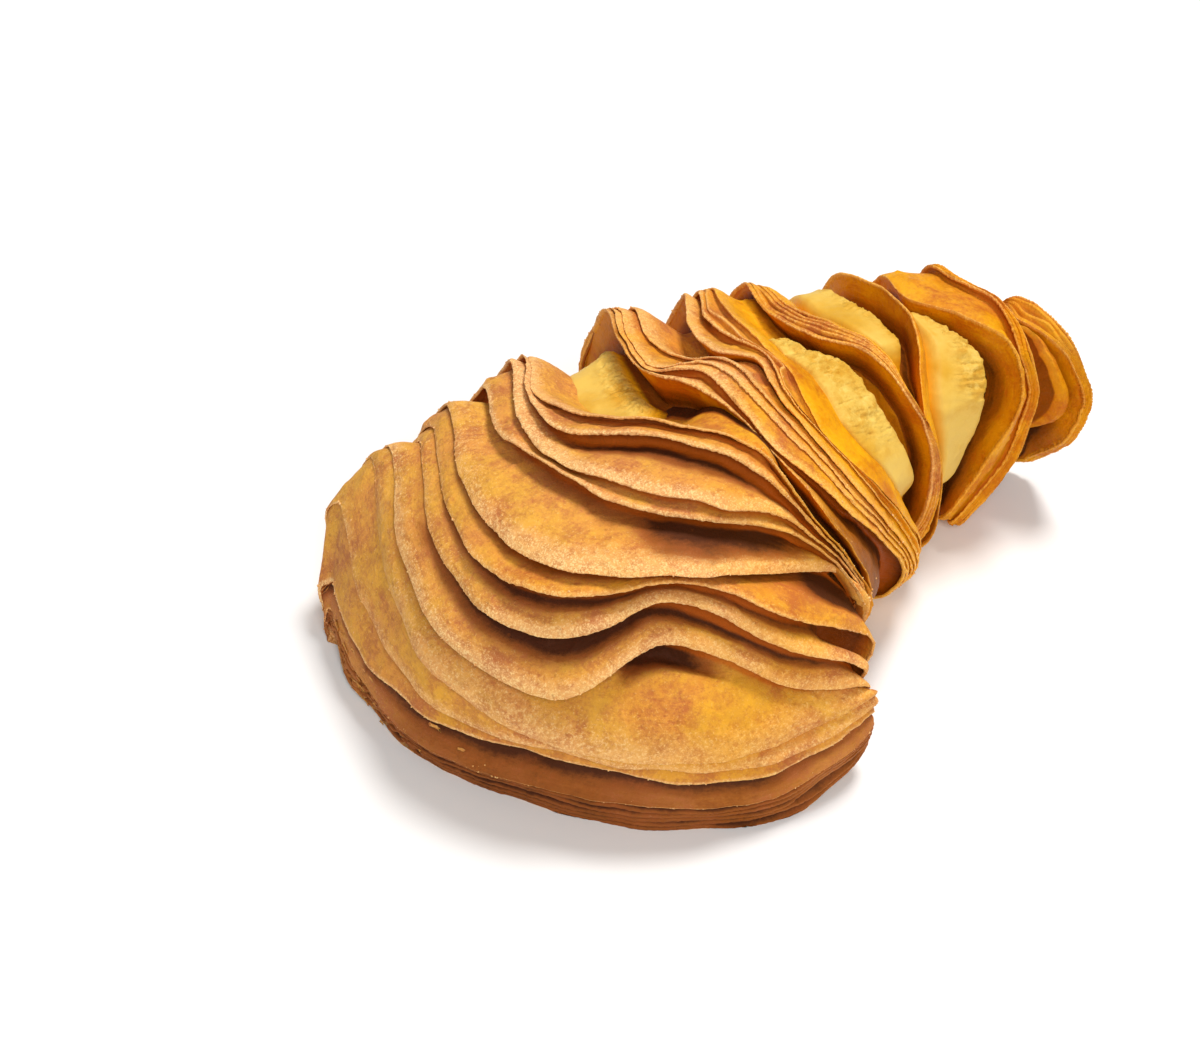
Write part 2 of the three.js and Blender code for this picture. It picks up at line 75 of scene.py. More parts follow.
RIMS = [
    rim("foot", gap=(1.0, 1.0, 0.8), plies=5, wave=0.3,
        bake=(0.9, 0.9, 0.6), base=(0.6, 0.8, 0.7), pale=0.35, gold=0.2,
        first=[(-64, 28.5, 3), (-67, 15, 1), (-64, -4, 0), (-52, -25, 0)],
        then=[(-35, -40, 0), (-19, -46, 0), (-3, -42, 7)]),
    rim("sole", gap=(1.2, 2.4, 1.0), swell=0.02, reach=1.2, wave=0.25,
        bake=(0.8, 1.0, 0.6), base=(0.4, 0.7, 0.5), pale=0.1, band=1.6, gold=0.1,
        first=[(-63.5, 29, 7), (-66.5, 16, 5), (-65, -5, 5), (-52, -25, 5)],
        then=[(-35, -40, 5), (-20, -46, 7), (-3, -43, 10)]),
    rim("hem", gap=(0.5, 2.0, 1.0), swell=0.02, reach=1.2, wave=0.42,
        bake=0.5, gold=0.5,
        first=[(-62.5, 31, 12), (-66, 17, 11), (-64, -4, 11), (-51, -24, 12)],
        then=[(-35, -40, 11), (-19, -45, 12), (-3, -43, 13)]),
    rim("collar", gap=(0.3, 1.4, 1.0), swell=0.03, reach=1.2, wave=0.3,
        bake=(0.25, 0.4, 0.5), pale=(0.4, 0.8, 0.7), band=4.0, gold=(0.7, 0.5, 0.6),
        first=[(-57, 36, 23), (-63, 18, 18), (-64, -4, 15), (-52, -25, 15)],
        then=[(-35, -40, 14), (-19, -45, 14), (-3, -43, 15)]),
    rim("skirt", gap=(0.6, 4.4, 2.0), swell=0.13, reach=4.0,
        bake=(0.25, 0.4, 0.45), base=(0.26, 0.0, 0.0), pale=(0.35, 0.75, 0.55), band=11.0,
        gold=(0.75, 0.55, 0.7),
        first=[(-50, 36, 30), (-60, 16, 26), (-63, -6, 22), (-53, -26, 18)],
        then=[(-35, -41, 17), (-18, -44, 17), (-3, -43, 17)]),
    rim("smile", gap=(0.7, 5.0, 2.6), swell=0.08, reach=3.5,
        bake=(0.6, 2.3, 1.2), base=(0.1, 0.0, 0.0), pale=(0.7, 1.0, 0.75), band=5.0,
        gold=(0.6, 0.4, 0.6),
        first=[(-48, 34, 33), (-58, 13, 31), (-61, -7, 29), (-52, -25, 28)],
        then=[(-35, -30, 35), (-19, -41, 26), (-4.5, -42.8, 18.5)]),
    rim("brow", gap=(0.7, 3.8, 3.0), swell=0.07, reach=3.0,
        bake=(0.6, 1.9, 1.2), base=(0.1, 0.0, 0.0), pale=(0.4, 1.0, 0.75), band=4.2,
        gold=(0.7, 0.35, 0.6),
        first=[(-44, 31, 35), (-54, 10, 36), (-56, -9, 36), (-48, -22, 37)],
        then=[(-32, -28, 41), (-19, -39, 33), (-4.5, -42.5, 22)]),
    rim("crest", gap=(0.9, 3.2, 2.6), tuck=0.25, swell=0.06, reach=3.0,
        bake=(0.5, 1.1, 0.8), base=(0.15, 0.0, 0.0), pale=(0.45, 0.8, 0.5), band=2.2,
        warm=(0.25, 0.45, 0.6), gold=(0.7, 0.4, 0.5),
        first=[(-41, 32, 36), (-50, 12, 39), (-53, -5, 41), (-47, -19, 43)],
        then=[(-30, -28, 44), (-17, -38, 38), (-0.5, -38.8, 23)]),
    rim("ledge", gap=(4.5, 4.4, 2.6), swell=0.10, reach=3.0,
        bake=(0.3, 0.85, 0.8), pale=(0.5, 1.0, 0.7), band=8.0, gold=(0.8, 0.65, 0.6),
        first=[(-37, 33, 38), (-46, 14, 42), (-49, -5, 44), (-43, -19, 46)],
        then=[(-29, -29, 46), (-4.5, -33, 36.5), (-0.6, -36.2, 26)]),
    rim("shelf", gap=(2.0, 2.6, 1.6), swell=0.05, reach=2.0,
        pale=0.9, band=2.0,
        first=[(-31, 32, 40), (-37, 17, 45), (-37, 5, 49), (-34, -11, 51)],
        then=[(-24, -22, 50), (-10, -30, 45), (-1, -36, 29)]),
    rim("step", gap=(2.6, 4.0, 2.0), swell=0.08, reach=3.0,
        bake=(0.6, 1.6, 0.9), band=4.4,
        first=[(-25, 33, 42), (-33, 18, 47), (-36, 3, 50), (-31, -12, 53)],
        then=[(-21, -23, 52), (-10, -29, 47), (0, -35, 29)]),
    rim("arch", gap=(1.8, 2.2, 1.6), swell=0.04, reach=2.0,
        pale=0.9, band=2.0,
        first=[(-23, 32, 43), (-30, 19, 48), (-32, 5, 52), (-23, -6, 55)],
        then=[(-14, -19, 55), (-9, -29, 49), (1, -34, 28)]),
    rim("ridge", gap=(12.0, 8.0, 3.0), bed=0.4, reach=0.5,
        bake=0.35, pale=(0.9, 0.8, 0.2), band=3.0, warm=(0.3, 0.5, 0.8), gold=(0.6, 0.6, 1.1),
        first=[(-22, 32, 42), (-29, 18.5, 48), (-28, 5.5, 53), (-20, -5.5, 56)],
        then=[(-11, -18.5, 56), (-8.5, -30, 50), (2, -34.5, 27)]),
    rim("neck", gap=(0.8, 2.6, 4.6), reach=1.0,
        bake=(0.5, 0.3, 1.1), base=(0.2, 0.0, 0.9), pale=(0.9, 1.0, 0.6), band=3.0,
        warm=(0.5, 0.4, 0.9), gold=(0.4, 0.5, 1.1),
        first=[(-5.5, 34, 43), (-10, 23, 48), (-13, 11.5, 51), (-9.5, 0.5, 53.5)],
        then=[(-8, -15, 54.5), (-4.5, -30.5, 46), (3.5, -32.5, 27)]),
    rim("scarf", gap=(0.8, 0.6, 0.45), reach=0.5,
        bake=0.05, band=3.0, warm=(0.5, 0.4, 0.9), gold=(0.3, 0.45, 1.1),
        first=[(-5, 33.5, 43.5), (-9.5, 22, 48.5), (-12.5, 10, 51.5), (-6.5, 2, 54)],
        then=[(-7.5, -17, 54.5), (0.5, -28.5, 44), (16, -25.5, 18)]),
    rim("stole", gap=(1.2, 0.9, 0.5), reach=0.8,
        bake=0.05, band=3.0, warm=(0.5, 0.4, 0.9), gold=(0.3, 0.45, 1.1),
        first=[(-4, 33, 43.5), (-9, 20.5, 48.5), (-11, 10, 51.5), (-4.5, 2, 54.5)],
        then=[(-4, -14, 54.5), (2.5, -27.5, 43.5), (17.5, -24.5, 17)]),
    rim("nape", gap=(7.0, 2.2, 0.5), bed=0.6, reach=0.5,
        bake=0.05, band=3.5, warm=(0.5, 0.4, 0.9), gold=(0.3, 0.45, 1.1),
        first=[(-1.5, 32, 43), (-6, 19, 48), (-5.5, 9.5, 51), (-2, 1.5, 54.5)],
        then=[(-2, -12.5, 54), (4, -26.5, 43), (19, -23.5, 16)]),
    rim("fold", gap=(2.8, 1.4, 0.5), reach=0.8,
        bake=0.05, band=3.0, warm=(0.5, 0.5, 0.95), gold=(0.3, 0.6, 1.2),
        first=[(8.5, 30, 43), (1.5, 18.5, 48), (0, 9, 50.5), (2.5, 0.5, 53.5)],
        then=[(0.5, -10.5, 53), (5.5, -25, 42.5), (20.5, -22.5, 15)]),
    rim("pleat", gap=(1.6, 0.9, 0.6), plies=2,
        bake=0.05, warm=(0.5, 0.5, 0.95), gold=(0.3, 0.6, 1.2),
        first=[(11, 29.5, 43), (5, 18.5, 48), (4.5, 9.5, 50.5), (5, 0.5, 53)],
        then=[(2.5, -10, 52), (8.5, -23.5, 41), (22, -21.5, 14.5)]),
    rim("wing", gap=(3.5, 7.0, 5.0), bed=0.62, reach=0.5,
        bake=0.1, pale=0.5, band=1.6, gold=1.0,
        first=[(13, 29, 43), (9, 18.5, 48), (7.5, 5.5, 50.5), (6.5, -4, 52)],
        then=[(4.5, -15.5, 48.5), (12, -23, 37.5), (24.5, -19, 14)]),
    rim("sash", gap=(1.6, 1.0, 1.0), plies=4,
        bake=0.7, pale=0.6, warm=(0.6, 0.5, 0.7), gold=0.3,
        first=[(18.5, 27, 43), (15, 15.5, 47), (16, 3, 50), (22, -4, 49)],
        then=[(25, -13, 43), (27, -17, 32), (26, -16.5, 17)]),
    rim("belt", gap=(9.0, 7.0, 4.0), bed=0.4, reach=0.5,
        bake=0.2, pale=0.3, band=1.2, gold=0.9,
        first=[(20, 24.5, 43), (19, 14.5, 47), (20.5, 3, 50), (24, -4.5, 49)],
        then=[(25.5, -14.5, 42), (28.5, -17.5, 30), (28, -16, 14)]),
    rim("band", gap=(6.0, 9.0, 6.0), bed=0.35, reach=0.5,
        bake=0.25, pale=0.3, gold=0.7,
        first=[(33.5, 21, 42), (35, 12.5, 46), (35, 3, 47), (32, -4.5, 46)],
        then=[(27.5, -12.5, 40), (29.5, -16.5, 28), (29.5, -15.5, 11)]),
    rim("cuff", gap=(1.6, 2.0, 1.2), swell=0.06, reach=1.0,
        pale=0.2, gold=0.5,
        first=[(40, 16.5, 42), (38, 7, 45), (43.5, -1, 45), (49, -9.5, 41)],
        then=[(48.5, -13.5, 32), (44, -11.5, 18), (38, -10, 8)]),
    rim("trim", gap=(1.4, 1.4, 1.2), plies=2,
        bake=0.7, pale=0.2, gold=0.5,
        first=[(48, 14.5, 42), (48, 6.5, 45), (51.5, -1, 44), (50, -10, 40)],
        then=[(52, -11.5, 30.5), (49.5, -10.5, 16), (39.5, -10, 5)]),
    rim("bell", gap=(4.0, 10.0, 8.0), bed=0.3, reach=0.3,
        bake=0.7, pale=0.2, gold=0.2,
        first=[(49, 14, 42), (49, 6, 45), (52, -2, 44), (51.5, -11, 40)],
        then=[(53, -12.5, 30), (51, -11.5, 16), (41, -10.5, 4)]),
    rim("lip", gap=(1.4, 1.2, 1.0), plies=3,
        bake=0.6, pale=0.2, gold=0.7,
        first=[(57, 4, 36), (56, -2, 38), (58, -6.5, 37.5), (61, -11, 33)],
        then=[(62, -14.5, 25.5), (61, -12.5, 15), (60, -5, 6)]),
    rim("tip", gap=(0, 0, 0),
        bake=0.5, pale=0.2, gold=0.5,
        first=[(57.2, 3.5, 37.5), (59.5, 0, 39.5), (61, -7.5, 38.5), (62, -13, 33.5)],
        then=[(62.8, -15.5, 26), (62.2, -13, 15), (61.5, -5.5, 5)]),
]
NAMES = [rim["name"] for rim in RIMS]

# Forms in a leaf's face: behind which rim, from which place to which, how far they stand up or sink in,
# how much darker they are painted (painted shade with some browning; a negative number takes it away),
# and the shares of the way to the next rim between which they rise and fall
FORMS = [
    dict(behind="skirt", start=3.5, end=4.55, tall=-5.0, dark=1.5, rise=(0.75, 0.79), fall=(1.2, 1.3)),
    dict(behind="brow", start=5.3, end=6.6, tall=-8.0, dark=2.0, rise=(0.3, 0.6), fall=(1.2, 1.3)),
    dict(behind="ridge", start=2.85, end=4.7, tall=5.6, dark=-0.5, rise=(0.06, 0.4), fall=(1.2, 1.3)),
    dict(behind="crest", start=4.7, end=6.0, tall=-0.2, dark=2.0, rise=(0.3, 0.7), fall=(1.2, 1.3)),
    dict(behind="ledge", start=3.2, end=5.2, tall=0.0, dark=0.9, rise=(0.05, 0.5), fall=(1.2, 1.3)),
    dict(behind="bell", start=0.5, end=6.1, tall=7.5, dark=0.0, rise=(0.66, 0.72), fall=(0.86, 0.98)),
    dict(behind="bell", start=0.5, end=6.1, tall=0.0, dark=-4.1, rise=(0.7, 0.74), fall=(1.2, 1.3)),
    dict(behind="bell", start=1.8, end=5.2, tall=3.0, dark=-0.6, rise=(0.2, 0.3), fall=(0.48, 0.54)),
]

# Where the choux swells out: behind which rim, from which place to which, how far below the rims, the
# shares between which it rises and falls, and from which share and up to which place it is torn open
WINDOWS = [
    dict(behind="ridge", start=-1.9, end=2.8, cover=(6.8, 6.6, 5.0), rise=(0.0, 0.24), fall=(0.74, 0.92),
         torn_from=0.5, torn_to=3.6),
    dict(behind="wing", start=0.7, end=6.2, cover=2.1, rise=(0.04, 0.32), fall=(0.72, 0.92),
         torn_from=0.3, torn_to=4.7),
    dict(behind="belt", start=-1.6, end=3.7, cover=2.4, rise=(0.04, 0.35), fall=(0.7, 0.9),
         torn_from=0.6, torn_to=3.0),
    dict(behind="band", start=0.6, end=6.4, cover=2.6, rise=(0.04, 0.3), fall=(0.7, 0.88),
         torn_from=0.45, torn_to=4.2),
]

# The leaves in pieces along the horn: each runs from one rim to the next one named
STOPS = {
    "foot_leaves": ("foot", "skirt"),
    "skirt_leaf": ("skirt", "smile"),
    "crown_leaves": ("smile", "ledge"),
    "ledge_leaves": ("ledge", "step"),
    "ridge_leaves": ("step", "neck"),
    "ribbon_leaves": ("neck", "fold"),
    "pleat_leaves": ("fold", "sash"),
    "fin_leaves": ("sash", "cuff"),
    "cuff_leaves": ("cuff", "bell"),
    "tip_leaves": ("bell", "tip"),
}

# Places round the horn are counted from the left flank over the crown and back underneath
PLACES = 11
UNWRAP = 8.5
LEFT_FLANK = 0.8
CROWN = (2.6, 3.4)
RIGHT_FLANK = 6.0
HIDDEN = (7.2, 8.6)
LEFT_BACK = 9.0
LEFT_SEEN = 9.8

# Columns of points stand round the horn, fewer on the hidden side, and rows lie across each leaf
COLUMNS = 720
SPARSE = (7.0, 9.6)
SPARSE_DENSITY = 0.35
FINE_STEPS = 4001
ROW_STEP = 0.6
ROWS_LEAST, ROWS_MOST = 9, 38
ROWS_AT_RIM = (0.25, 0.65, 1.2)
SHOWN_FROM = -1.5
LEAF_STRIDE = 20.0

# How the hidden places follow from the rim's two ends: shares of its width and of its height
FLANK_BOW = 0.14
BACK_TUCK = 0.08
RIGHT_LOW, BACK_LOW, BACK_HIGH = 0.22, 0.2, 0.62
PRESSED = -2.0
TIP_RISE = 0.14
TIP_FROM = 22.0
TAIL_END = (67.0, -3.0, 22.0)
END_RING = 0.2
EVEN_STEPS = 45

# How the rims waver: how many waves there are to the turn, out of the face and along the horn
WAVES_OUT = (5, 18)
WAVES_ALONG = (5, 20)
ALONG_SHARE = 0.8
RUFFLED_LENGTH = 230.0

# How much room a cleft or a valley has: shares of the way to the next rim and of its own depth
VALLEY_ROOM = (0.9, 0.2)
CLEFT_ROOM = (0.5, 0.6)
HIDDEN_CLEFT = 0.25
CLEFT_OPENS = (0.2, 2.5)
LEAST_GAP = 0.1
REACH_SHUT, REACH_OPEN, REACH_MOST = 0.3, 0.7, 0.5
VALLEY_FLOOR, PLY_FLOOR = 1.0, 0.5

# A leaf's edge: its thickness, and the shape of its rounded face, as the share of the thickness
# and how far it stands out there
LEAF = 0.6
THIN_EDGE = 0.12
EDGE_OF_CLEFT = 0.45
EDGE_PROFILE = ((1.0, 0.0), (0.8, 0.14), (0.5, 0.2), (0.2, 0.13), (0.0, 0.0))
NICK = 0.05
NICKS = (60, 240)

# Where the rows on a leaf's underside lie, from the end of the cleft (1) to the rim (0)
VALLEY_PARTS = (0.88, 0.76, 0.64, 0.52, 0.4, 0.28, 0.16, 0.07)
CLEFT_PARTS = (0.6, 0.25)
# Painted shade on a leaf's underside over a valley: how dark it is, how much darker towards the right
# flank (between the places in TURN_RIGHT), and how much darker deeper in
UNDER_DARK, UNDER_DARK_RIGHT, UNDER_DARK_IN = 0.2, 0.35, 0.9
TURN_RIGHT = (4.4, 5.8)

# How dark a leaf's face is painted towards its root, as shade with some browning, and where a painted
# glow of light through the dough lies
SHADE_OF_WIDTH = 0.68
SHADE_WIDTHS = (1.5, 7.5)
OPEN_DEPTH = 1.2
GLOW_WIDTH = 2.2
GLOW_DEPTHS = (1.0, 2.5)
BED_DARK = (0.5, 1.3)
VALLEY_END = (0.66, 0.92)
VALLEY_END_DARK = 5.0
ROOT_BOW = 0.15

# Single blisters: behind which rim, at which place, share of the way, radius and height
BLISTERS = [
    ("smile", 3.7, 0.55, 1.2, 0.6), ("smile", 3.86, 0.75, 0.9, 0.5), ("smile", 3.6, 0.85, 0.8, 0.5),
    ("smile", 0.9, 0.5, 0.9, 0.4), ("brow", 0.6, 0.5, 0.8, 0.35), ("sole", 2.9, 0.45, 0.7, 0.3),
]
# Strewn blisters: how many on a leaf, and between which places, shares, radii and heights
BLISTER_COUNT = (14, 28)
BLISTER_RANGES = ((-1.5, 6.2), (0.15, 0.85), (0.45, 1.2), (0.12, 0.4))

# One leaf's edge in a bundle: share of the edge, share of the gap behind it, how deep in the groove,
# how floury, and how dark it is painted as shade down in the groove
PLY_PROFILE = (
    (0.02, 0.0, 0.12, 0.8, 0.0), (0.25, 0.0, 0.0, 0.9, 0.0), (0.75, 0.0, 0.0, 0.6, 0.05),
    (1.0, 0.0, 0.14, 0.2, 0.25), (1.0, 0.2, 0.6, 0.0, 0.6), (1.0, 0.6, 1.0, 0.0, 1.0),
    (1.0, 0.94, 0.8, 0.0, 0.8))
PLY = 0.6
PLY_CROWDED = 0.8
PLY_SPREAD = 1.5
GROOVE = 0.12
GROOVE_OF_GAP = 0.9
GROOVE_MOST = 1.6
BREAKS = 150
BREAK_DEPTH = 1.5
BREAK_EDGES = (0.05, 0.95)
RAGGED = (-1.0, 2.3)

# Soft noise shifts every point: the size of its lumps and how far
WARPS = ((9.0, 0.42), (3.0, 0.14), (1.1, 0.06))

# The tail's closing leaf
TIP_SHARES = (0.05, 0.15, 0.3, 0.5, 0.7, 0.85, 1.0)
TIP_HOLLOW = 1.2

# The choux: from which rim to which, how far below the rims, and its torn and smooth relief
CORE_FIRST = "smile"
CORE_END = "bell"
CORE_ROWS = 30
CORE_COVER = 9.0
CORE_FLOOR = 5.0
CORE_SLIMMEST = 0.7
TORN_SIZE, TORN_AMOUNT = 2.0, 0.75
CALM_SIZE, CALM_AMOUNT = 9.0, 0.2
LUMP_NOISE = (0.9, 2.1, 3)
PORE_SIZE = 0.55
LUMPS, PORES = 0.8, 0.7

CRUMBS = 1800
CRUMBS_AT_RIM = 0.65
CRUMB_SIZE, CRUMB_MORE = 0.06, 0.16
FLAKES = 40
FLAKE_THICKNESS = 0.22
FLAKE_CURL = 0.3


# Curves
def smooth(x, low=0.0, high=1.0):
    t = np.clip((x - low) / (high - low), 0.0, 1.0)
    return t * t * (3.0 - 2.0 * t)


def closed_curve(points, turns):
    """A closed Catmull-Rom curve through the points, at these turns round it"""
    count = len(points)
    along = (turns % 1.0) * count
    index = np.floor(along).astype(int)
    t = (along - index)[:, None]
    before, start, end, after = (points[(index + step) % count] for step in (-1, 0, 1, 2))
    return 0.5 * (2 * start + (end - before) * t + (2 * before - 5 * start + 4 * end - after) * t ** 2
                  + (3 * start - before - 3 * end + after) * t ** 3)


def unit(vectors):
    return vectors / np.maximum(np.linalg.norm(vectors, axis=-1, keepdims=True), 1e-9)


def columns_round():
    """Where the columns stand, in turns round the horn: fewer to the turn on the hidden side"""
    fine = np.linspace(0.0, 1.0, FINE_STEPS)
    density = np.where((fine * PLACES > SPARSE[0]) & (fine * PLACES < SPARSE[1]), SPARSE_DENSITY, 1.0)
    passed = np.concatenate([[0.0], np.cumsum((density[1:] + density[:-1]) / 2)])
    return np.interp(np.linspace(0.0, passed[-1], COLUMNS + 1), passed, fine)


TURNS = columns_round()
PLACE = TURNS * PLACES
ROUND = np.where(PLACE > UNWRAP, PLACE - PLACES, PLACE)
SEEN = 1 - smooth(PLACE, RIGHT_FLANK, HIDDEN[0]) * (1 - smooth(PLACE, HIDDEN[1], LEFT_SEEN))


def column_at(place):
    return int(np.searchsorted(TURNS, place % PLACES / PLACES)) % COLUMNS


def round_horn(value):
    """One number, or three at the left flank, the crown and the right flank, spread over the columns"""
    left, crown, right = value if isinstance(value, tuple) else (value,) * 3
    return np.interp(PLACE, (0, LEFT_FLANK, *CROWN, RIGHT_FLANK, LEFT_BACK, PLACES),
                     (left, left, crown, crown, right, left, left))


def rim_places(rim):
    """The rim's seven places and the four hidden ones: right low, bottom, back low and back"""
    seen = rim["at"]
    left, right = seen[0], seen[6]
    middle = (left + right) / 2
    out_left, out_right = (unit(np.array([*(p - middle)[:2], 0.0])) for p in (left, right))
    low = PRESSED + max(0.0, middle[0] - TIP_FROM) * TIP_RISE
    half_width = math.hypot(*(right - middle)[:2])

    def lifted(point, share, top):
        return np.array([point[0], point[1], low + share * max(0.0, top - low)])

    right_low = lifted(right - out_right * rim["tuck"] * half_width, RIGHT_LOW, right[2])
    back_low = lifted(left - out_left * BACK_TUCK * half_width, BACK_LOW, left[2])
    back = lifted(left + out_left * FLANK_BOW * left[2], BACK_HIGH, left[2])
    return np.vstack([seen, right_low, lifted(middle, 0.0, 0.0), back_low, back])


def ripple(waves, size, count=6):
    """A random wave that closes on itself: count sines with between waves[0] and waves[1] periods"""
    total = np.zeros_like(TURNS)
    for _ in range(count):
        periods = int(RANDOM.integers(waves[0], waves[1]))
        total += np.sin(math.tau * (periods * TURNS + RANDOM.random()))
    return total * size / math.sqrt(count)


def between(start, end, soft=0.35):
    """1 from the start place to the end place, with soft ends"""
    edge = soft * (end - start)
    return smooth(ROUND, start, start + edge) * (1 - smooth(ROUND, end - edge, end))


def envelope():
    """The rims' points, the way inwards at each, and the middle of each loop"""
    loops = [closed_curve(rim_places(rim), TURNS) for rim in RIMS]
    even = [closed_curve(rim_places(rim), np.linspace(0, 1, EVEN_STEPS)[:-1]) for rim in RIMS]
    centres = [loop.mean(axis=0) for loop in even]
    inner = [unit(centre - loop) for loop, centre in zip(loops, centres)]
    for i, loop in enumerate(loops):
        wave = RIMS[i]["wave"]
        onwards = unit(loops[min(i + 1, len(loops) - 1)] - loops[max(i - 1, 0)])
        calm = min(1.0, np.linalg.norm(np.diff(loop, axis=0), axis=1).sum() / RUFFLED_LENGTH) ** 2
        loop += inner[i] * (ripple(WAVES_OUT, wave * calm) * SEEN)[:, None]
        loop += onwards * (ripple(WAVES_ALONG, ALONG_SHARE * wave * calm) * SEEN)[:, None]
        loop[-1] = loop[0]
    end = np.array(TAIL_END)
    loops.append(end + (loops[-1] - end) * END_RING)
    return loops, inner + [inner[-1]], centres + [centres[-1]]


LOOPS, INNER, CENTRES = envelope()


def run_along(i):
    """How far along its rim each column stands, counted from the left flank either way"""
    steps = np.linalg.norm(np.diff(LOOPS[i], axis=0), axis=1)
    run = np.concatenate([[0.0], np.cumsum(steps)])
    return np.where(PLACE > UNWRAP, run - run[-1], run)


def spacing(i):
    return np.linalg.norm(LOOPS[i + 1] - LOOPS[i], axis=1)


def cleft_depth(i):
    """How deep the cleft behind rim i is round the horn"""
    left, crown, right = RIMS[i]["gap"]
    hidden = (HIDDEN_CLEFT * right, HIDDEN_CLEFT * left)
    gap = np.interp(PLACE, (0, LEFT_FLANK, *CROWN, RIGHT_FLANK, *HIDDEN, LEFT_SEEN, PLACES),
                    (left, left, crown, crown, right, *hidden, left, left))
    of_width, of_gap = VALLEY_ROOM if RIMS[i]["bed"] else CLEFT_ROOM
    return np.minimum(gap, of_width * spacing(i) + of_gap * gap)


def on_envelope(i, share, depth):
    """Points a share of the way from rim i to the next, sunk by a depth"""
    share = np.broadcast_to(share, TURNS.shape)[:, None]
    skin = LOOPS[i] + (LOOPS[i + 1] - LOOPS[i]) * share
    inner = unit(INNER[i] + (INNER[i + 1] - INNER[i]) * share)
    return skin + inner * np.broadcast_to(depth, TURNS.shape)[:, None]


def forms(i, share, what="tall"):
    """How far the forms in leaf i's face stand up, or how much darker they are painted as shade with
    some browning, at a share of its width
    """
    total = np.zeros_like(TURNS)
    for form in FORMS:
        if form["behind"] == NAMES[i]:
            shape = smooth(share, *form["rise"]) * (1 - smooth(share, *form["fall"]))
            total = total + form[what] * shape * between(form["start"], form["end"])
    return total


def leaf_sag(i, share):
    """How deep the outside of leaf i lies, a share of the way to the next rim"""
    rim = RIMS[i]
    fall = smooth(share / rim["bed"]) if rim["bed"] else smooth(share)
    return cleft_depth(i) * fall - rim["swell"] * spacing(i) * np.sin(math.pi * share) - forms(i, share)


# Leaves
class Rows:
    """Rows of points round the horn, with what the finish needs to know at each"""

    LOOKS = ("pale", "deep", "warm", "gold", "glow")

    def __init__(self):
        self.points = []
        self.values = {kind: [] for kind in (*self.LOOKS, "run", "wide")}

    def add(self, points, i, wide=0.0, pale=0.0, deep=0.0, gold=0.4, glow=0.0, warm=None):
        """wide: how far from its rim the row lies; the rest is described in leaf_finish"""
        self.points.append(points)
        warm = warmth(i) if warm is None else warm
        row = dict(pale=pale, deep=deep, warm=warm, gold=gold, glow=glow)
        row.update(run=run_along(i), wide=wide + LEAF_STRIDE * i)
        for kind, value in row.items():
            self.values[kind].append(np.broadcast_to(np.asarray(value, float), TURNS.shape).copy())


def warmth(i):
    """Orange rises from the left flank to the right one, and the tail is orange all round"""
    rim = RIMS[min(i, len(RIMS) - 1)]
    if rim["warm"] is not None:
        return round_horn(rim["warm"])
    tail = smooth(i, NAMES.index("shelf"), NAMES.index("wing"))
    return np.clip(0.1 + 0.4 * smooth(ROUND, 1.0, 6.0) + 0.6 * tail, 0, 1)


def edge_thickness(i):
    return np.minimum(LEAF, EDGE_OF_CLEFT * cleft_depth(max(i - 1, 0)) + THIN_EDGE)


def pocket(i, part):
    """Points on the underside of leaf i + 1, from its rim (part 0) to the end of the cleft (part 1)"""
    rim = RIMS[i]
    following = spacing(i + 1)
    open_share = cleft_depth(i) / max(*rim["gap"], LEAST_GAP)
    reach = np.minimum(rim["reach"] * (REACH_SHUT + REACH_OPEN * open_share), REACH_MOST * following)
    share = reach * part / np.maximum(following, 1e-6)
    under = edge_thickness(i + 1) + leaf_sag(i + 1, share)
    if rim["bed"] or rim["plies"] > 1:
        floor = cleft_depth(i) * (VALLEY_FLOOR if rim["bed"] else PLY_FLOOR)
        under = under + (np.maximum(floor, under) - under) * part
    return on_envelope(i + 1, share, under)


def add_underside(rows, i, gold):
    """The underside of leaf i, from the end of the cleft below it to its rim, painted darker as shade
    deeper in, with a painted glow in a plain cleft
    """
    if RIMS[i - 1]["bed"]:
        for part in VALLEY_PARTS:
            deep = UNDER_DARK + UNDER_DARK_RIGHT * smooth(ROUND, *TURN_RIGHT)
            deep = deep + UNDER_DARK_IN * smooth(part, 0.15, 0.85)
            rows.add(pocket(i - 1, part), i, wide=-8.0 * part, deep=deep, gold=0.1, warm=1.0)
        return
    opened = smooth(cleft_depth(i - 1), *CLEFT_OPENS)
    for part in CLEFT_PARTS:
        rows.add(pocket(i - 1, part), i, wide=-3.0 * part, pale=0.3 * (1 - opened),
                 deep=(0.35 + 0.5 * part) * opened, gold=gold, glow=0.6)


def add_edge(rows, i, gold):
    """The free edge of leaf i: its lower corner, a rounded face and its upper corner"""
    rim = RIMS[i]
    thick = edge_thickness(i)
    nick = ripple(NICKS, NICK, 12) * SEEN
    back = unit(LOOPS[i - 1] - LOOPS[i]) if i else unit(LOOPS[0] - LOOPS[1])
    # Flour on the rim, and painted light besides: the thin edge is painted paler than the leaf's face so
    # that it looks lit
    pale = 0.6 + 0.5 * round_horn(rim["pale"])
    for share, out in EDGE_PROFILE:
        edge = LOOPS[i] + INNER[i] * (thick * share + nick * 0.5)[:, None]
        edge = edge + back * (out + nick)[:, None]
        rows.add(edge, i, wide=-share * 0.5, pale=pale * (1 - 0.2 * share),
                 deep=0.05 * share + 0.5 * round_horn(rim["base"]), gold=gold, warm=warmth(i) * 0.85)


def leaf_shares(i):
    """The rows of a leaf's face: close together at the rim, and a row to each ROW_STEP after that"""
    count = int(np.clip(spacing(i)[ROUND > SHOWN_FROM].max() / ROW_STEP, ROWS_LEAST, ROWS_MOST))
    near = [share / count for share in ROWS_AT_RIM]
    return near[:-1] + list(np.linspace(near[-1], 1.0, count))


